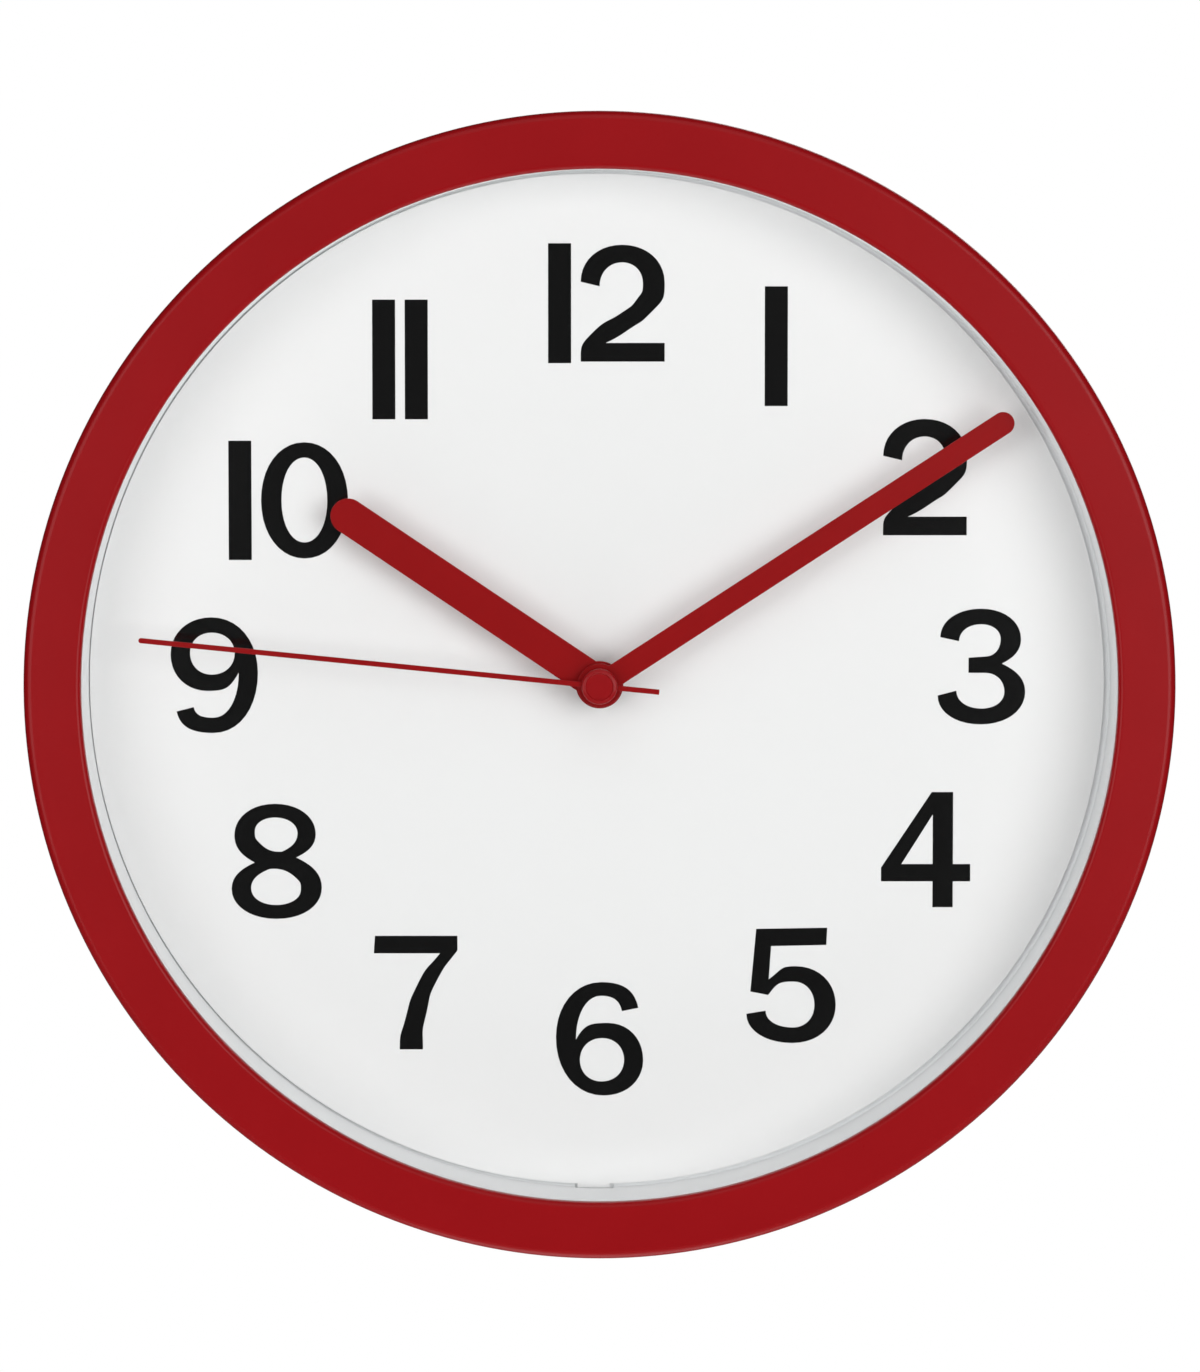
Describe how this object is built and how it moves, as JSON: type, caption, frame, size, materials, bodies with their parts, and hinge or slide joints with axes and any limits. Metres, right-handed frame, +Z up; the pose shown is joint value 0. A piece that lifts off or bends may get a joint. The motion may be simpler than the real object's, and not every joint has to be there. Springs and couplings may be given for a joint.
{
  "type": "wall clock",
  "caption": "Round battery wall clock with a red plastic case ring, white dial, black hour numerals, red round-ended hands and a quartz movement.",
  "frame": {"origin": "the top of the keyhole slot in the hanger plate, where the nail bears, taken straight back onto the wall plane", "axes": "-Y is the way the dial faces, +Y points into the wall, +Z is up towards 12 o'clock and +X is towards 3 o'clock"},
  "size_m": [0.25, 0.0435, 0.25],
  "materials": {
    "red_plastic": "moulded red plastic, satin to semi-gloss",
    "red_hand": "thin aluminium sheet with red satin paint",
    "white_plastic": "moulded white plastic, satin",
    "dial_white": "white sheet, matte, with black printed numerals",
    "lens": "clear flat glass",
    "movement_plastic": "moulded black plastic",
    "natural_plastic": "unpainted acetal, satin",
    "steel": "zinc plated or ground steel",
    "brass": "turned brass",
    "copper_wire": "enamelled copper winding",
    "magnet": "sintered magnet, dark grey",
    "circuit_board": "green solder mask",
    "black_resin": "cured black resin",
    "battery_jacket": "printed sleeve round a metal can, no marks"
  },
  "bodies": {
    "case": {"case_ring": "red_plastic", "lens": "lens", "dial": "dial_white", "dial_pan": "white_plastic", "pan_screw_1": "steel", "pan_screw_2": "steel", "pan_screw_3": "steel", "pan_screw_4": "steel", "pan_screw_5": "steel", "pan_screw_6": "steel", "hanger_plate": "steel", "hanger_screw_1": "steel", "hanger_screw_2": "steel", "movement_front_case": "movement_plastic", "movement_back_case": "movement_plastic", "middle_plate": "natural_plastic", "stator": "steel", "coil_core": "steel", "coil_bobbin": "natural_plastic", "coil_winding": "copper_wire", "circuit_board": "circuit_board", "chip": "black_resin", "quartz_crystal": "steel", "positive_contact": "steel", "negative_contact": "steel"},
    "second_group": {"second_wheel": "natural_plastic", "second_shaft": "steel", "second_hand": "red_hand", "second_cap": "red_plastic"},
    "minute_group": {"minute_tube": "brass", "minute_hand": "red_hand"},
    "hour_group": {"hour_wheel": "natural_plastic", "hour_hand": "red_hand"},
    "rotor": {"rotor_pinion": "steel", "rotor_magnet": "magnet"},
    "intermediate": {"intermediate_wheel": "natural_plastic"},
    "third": {"third_wheel": "natural_plastic"},
    "centre": {"centre_wheel": "natural_plastic"},
    "minute_train": {"minute_wheel": "natural_plastic"},
    "knob": {"setting_knob": "natural_plastic"},
    "cell": {"battery": "battery_jacket"}
  },
  "joints": [
    {"name": "second_spin", "type": "hinge", "parent": "case", "child": "second_group", "pos_m": [0, -0.035, -0.085], "axis": [0, 1, 0], "continuous": true},
    {"name": "intermediate_spin", "type": "hinge", "parent": "case", "child": "intermediate", "pos_m": [-0.00831, -0.008, -0.0802], "axis": [0, 1, 0], "continuous": true},
    {"name": "rotor_spin", "type": "hinge", "parent": "case", "child": "rotor", "pos_m": [-0.01167, -0.008, -0.07438], "axis": [0, 1, 0], "continuous": true},
    {"name": "third_spin", "type": "hinge", "parent": "case", "child": "third", "pos_m": [0.0051, -0.012, -0.07617], "axis": [0, 1, 0], "continuous": true},
    {"name": "centre_spin", "type": "hinge", "parent": "case", "child": "centre", "pos_m": [0, -0.015, -0.085], "axis": [0, 1, 0], "continuous": true},
    {"name": "minute_spin", "type": "hinge", "parent": "case", "child": "minute_group", "pos_m": [0, -0.033, -0.085], "axis": [0, 1, 0], "continuous": true},
    {"name": "minute_wheel_spin", "type": "hinge", "parent": "case", "child": "minute_train", "pos_m": [-0.00886, -0.017, -0.08344], "axis": [0, 1, 0], "continuous": true},
    {"name": "hour_spin", "type": "hinge", "parent": "case", "child": "hour_group", "pos_m": [0, -0.031, -0.085], "axis": [0, 1, 0], "continuous": true},
    {"name": "knob_turn", "type": "hinge", "parent": "case", "child": "knob", "pos_m": [-0.01732, -0.003, -0.08652], "axis": [0, 1, 0], "continuous": true},
    {"name": "battery_out", "type": "slide", "parent": "case", "child": "cell", "axis": [0, 1, 0], "range_m": [0, 0.022]}
  ],
  "couplings": [
    {"joint": "intermediate_spin", "follows": "second_spin", "ratio": -5},
    {"joint": "rotor_spin", "follows": "second_spin", "ratio": 30},
    {"joint": "third_spin", "follows": "second_spin", "ratio": -0.13333},
    {"joint": "centre_spin", "follows": "second_spin", "ratio": 0.016667},
    {"joint": "minute_wheel_spin", "follows": "minute_spin", "ratio": -0.33333},
    {"joint": "hour_spin", "follows": "minute_spin", "ratio": 0.083333},
    {"joint": "knob_turn", "follows": "minute_spin", "ratio": 1}
  ]
}
